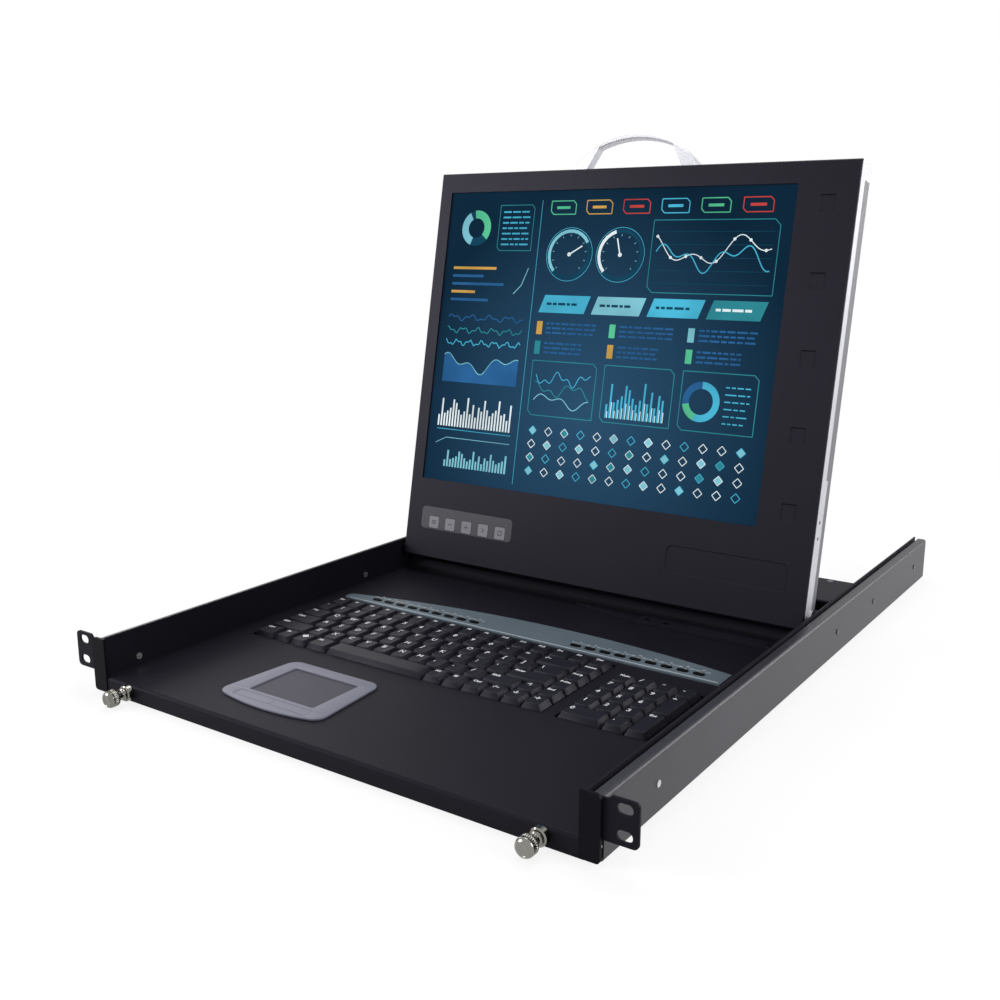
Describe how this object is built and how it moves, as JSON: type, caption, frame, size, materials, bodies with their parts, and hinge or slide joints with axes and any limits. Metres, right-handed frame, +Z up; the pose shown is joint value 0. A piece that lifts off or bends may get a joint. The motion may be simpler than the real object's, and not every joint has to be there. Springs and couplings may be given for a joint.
{
  "type": "rackmount LCD console drawer",
  "caption": "One-unit rack drawer with a folding flat display, keyboard and touchpad on telescopic ball slides between two slotted rack ears.",
  "frame": {"origin": "middle of the four rack slots, on the front face of the rack ears", "axes": "+X to the right seen from the front, +Y into the rack along the rails, +Z up"},
  "size_m": [0.4826, 0.6736, 0.4236],
  "materials": {
    "satin_steel": "zinc-plated steel, satin",
    "bright_steel": "bright steel",
    "black_paint": "fine black powder coat",
    "grey_paint": "grey powder coat",
    "black_plastic": "fine-grained moulding",
    "key_plastic": "smooth satin moulding",
    "silver_plastic": "silver-painted moulding",
    "menu_plastic": "pale grey printed film",
    "silver_metal": "satin silver",
    "chrome_plate": "bright nickel plate",
    "dome_rubber": "translucent silicone",
    "circuit_board": "green solder mask",
    "screen_glass": "anti-glare front film"
  },
  "bodies": {
    "rails": {"left_rail": "satin_steel", "right_rail": "satin_steel", "left_rack_ear": "satin_steel", "right_rack_ear": "satin_steel", "left_slide_outer": "satin_steel", "right_slide_outer": "satin_steel", "rail_rivets": "bright_steel"},
    "middle_slides": {"left_slide_middle": "satin_steel", "right_slide_middle": "satin_steel"},
    "outer_cages": {"outer_ball_cages": "bright_steel"},
    "inner_cages": {"inner_ball_cages": "bright_steel"},
    "drawer": {"drawer_tray": "black_paint", "keyboard_deck": "black_paint", "front_bars": "black_paint", "left_slide_inner": "satin_steel", "right_slide_inner": "satin_steel", "cable_cover": "black_plastic", "hinge_brackets": "black_paint", "drawer_screws": "bright_steel", "thumbscrew_collars": "chrome_plate", "key_guide_frame": "black_plastic", "key_membrane": "dome_rubber", "keyboard_base_plate": "bright_steel", "media_strip": "silver_plastic", "touchpad_frame": "silver_plastic", "touchpad_pad": "black_plastic", "control_boards": "circuit_board", "rear_cover": "black_paint", "rear_panel": "black_paint", "rear_ports": "black_plastic", "main_board": "circuit_board"},
    "display": {"panel_bezel": "black_plastic", "panel_side_frame": "silver_metal", "panel_back_cover": "grey_paint", "panel_top_cap": "silver_metal", "panel_handle": "silver_metal", "lcd_module": "bright_steel", "lcd_glass": "screen_glass", "menu_overlay": "black_plastic", "lcd_driver_board": "circuit_board", "hinge_arms": "bright_steel", "panel_screws": "bright_steel"},
    "function_row": {"function_row_keys": "key_plastic"},
    "number_row": {"number_row_keys": "key_plastic"},
    "upper_letter": {"upper_letter_keys": "key_plastic"},
    "home_row": {"home_row_keys": "key_plastic"},
    "lower_letter": {"lower_letter_keys": "key_plastic"},
    "bottom_row": {"bottom_row_keys": "key_plastic"},
    "space_bar": {"space_bar": "key_plastic"},
    "number_pad": {"number_pad_keys": "key_plastic"},
    "media_buttons": {"media_keys": "key_plastic"},
    "touchpad_left_key": {"touchpad_left_button": "key_plastic"},
    "touchpad_right_key": {"touchpad_right_button": "key_plastic"},
    "menu_key_1": {"menu_button_1": "menu_plastic"},
    "menu_key_2": {"menu_button_2": "menu_plastic"},
    "menu_key_3": {"menu_button_3": "menu_plastic"},
    "menu_key_4": {"menu_button_4": "menu_plastic"},
    "menu_key_5": {"menu_button_5": "menu_plastic"},
    "left_screw": {"left_thumbscrew": "chrome_plate"},
    "right_screw": {"right_thumbscrew": "chrome_plate"}
  },
  "joints": [
    {"name": "drawer_slide", "type": "slide", "parent": "rails", "child": "drawer", "axis": [0, -1, 0], "range_m": [0, 0.44]},
    {"name": "middle_slide_travel", "type": "slide", "parent": "rails", "child": "middle_slides", "axis": [0, -1, 0], "range_m": [0, 0.22]},
    {"name": "outer_cage_travel", "type": "slide", "parent": "rails", "child": "outer_cages", "axis": [0, -1, 0], "range_m": [0, 0.11]},
    {"name": "inner_cage_travel", "type": "slide", "parent": "rails", "child": "inner_cages", "axis": [0, -1, 0], "range_m": [0, 0.33]},
    {"name": "display_hinge", "type": "hinge", "parent": "drawer", "child": "display", "pos_m": [0, 0.36533, 0.00566], "axis": [1, 0, 0], "range_deg": [-14, 101]},
    {"name": "function_row_press", "type": "slide", "parent": "drawer", "child": "function_row", "axis": [0, 0, -1], "range_m": [0, 0.0019], "stiffness_N_per_m": 1500, "springref_m": -0.001},
    {"name": "number_row_press", "type": "slide", "parent": "drawer", "child": "number_row", "axis": [0, 0, -1], "range_m": [0, 0.0019], "stiffness_N_per_m": 1500, "springref_m": -0.001},
    {"name": "upper_letter_press", "type": "slide", "parent": "drawer", "child": "upper_letter", "axis": [0, 0, -1], "range_m": [0, 0.0019], "stiffness_N_per_m": 1500, "springref_m": -0.001},
    {"name": "home_row_press", "type": "slide", "parent": "drawer", "child": "home_row", "axis": [0, 0, -1], "range_m": [0, 0.0019], "stiffness_N_per_m": 1500, "springref_m": -0.001},
    {"name": "lower_letter_press", "type": "slide", "parent": "drawer", "child": "lower_letter", "axis": [0, 0, -1], "range_m": [0, 0.0019], "stiffness_N_per_m": 1500, "springref_m": -0.001},
    {"name": "bottom_row_press", "type": "slide", "parent": "drawer", "child": "bottom_row", "axis": [0, 0, -1], "range_m": [0, 0.0019], "stiffness_N_per_m": 1500, "springref_m": -0.001},
    {"name": "space_bar_press", "type": "slide", "parent": "drawer", "child": "space_bar", "axis": [0, 0, -1], "range_m": [0, 0.0019], "stiffness_N_per_m": 1500, "springref_m": -0.001},
    {"name": "number_pad_press", "type": "slide", "parent": "drawer", "child": "number_pad", "axis": [0, 0, -1], "range_m": [0, 0.0019], "stiffness_N_per_m": 1500, "springref_m": -0.001},
    {"name": "media_buttons_press", "type": "slide", "parent": "drawer", "child": "media_buttons", "axis": [0, 0, -1], "range_m": [0, 0.0006], "stiffness_N_per_m": 1000, "springref_m": -0.0005},
    {"name": "touchpad_left_key_press", "type": "slide", "parent": "drawer", "child": "touchpad_left_key", "axis": [0, 0, -1], "range_m": [0, 0.0005], "stiffness_N_per_m": 1000, "springref_m": -0.0005},
    {"name": "touchpad_right_key_press", "type": "slide", "parent": "drawer", "child": "touchpad_right_key", "axis": [0, 0, -1], "range_m": [0, 0.0005], "stiffness_N_per_m": 1000, "springref_m": -0.0005},
    {"name": "menu_key_1_press", "type": "slide", "parent": "display", "child": "menu_key_1", "axis": [0, 0.9816, -0.1908], "range_m": [0, 0.0004], "stiffness_N_per_m": 1000, "springref_m": -0.0003},
    {"name": "menu_key_2_press", "type": "slide", "parent": "display", "child": "menu_key_2", "axis": [0, 0.9816, -0.1908], "range_m": [0, 0.0004], "stiffness_N_per_m": 1000, "springref_m": -0.0003},
    {"name": "menu_key_3_press", "type": "slide", "parent": "display", "child": "menu_key_3", "axis": [0, 0.9816, -0.1908], "range_m": [0, 0.0004], "stiffness_N_per_m": 1000, "springref_m": -0.0003},
    {"name": "menu_key_4_press", "type": "slide", "parent": "display", "child": "menu_key_4", "axis": [0, 0.9816, -0.1908], "range_m": [0, 0.0004], "stiffness_N_per_m": 1000, "springref_m": -0.0003},
    {"name": "menu_key_5_press", "type": "slide", "parent": "display", "child": "menu_key_5", "axis": [0, 0.9816, -0.1908], "range_m": [0, 0.0004], "stiffness_N_per_m": 1000, "springref_m": -0.0003},
    {"name": "left_screw_turn", "type": "hinge", "parent": "drawer", "child": "left_screw", "pos_m": [-0.181, 0, -0.02226], "axis": [0, 1, 0], "continuous": true},
    {"name": "right_screw_turn", "type": "hinge", "parent": "drawer", "child": "right_screw", "pos_m": [0.181, 0, -0.02226], "axis": [0, 1, 0], "continuous": true}
  ],
  "couplings": [
    {"joint": "middle_slide_travel", "follows": "drawer_slide", "ratio": 0.5},
    {"joint": "outer_cage_travel", "follows": "drawer_slide", "ratio": 0.25},
    {"joint": "inner_cage_travel", "follows": "drawer_slide", "ratio": 0.75}
  ]
}
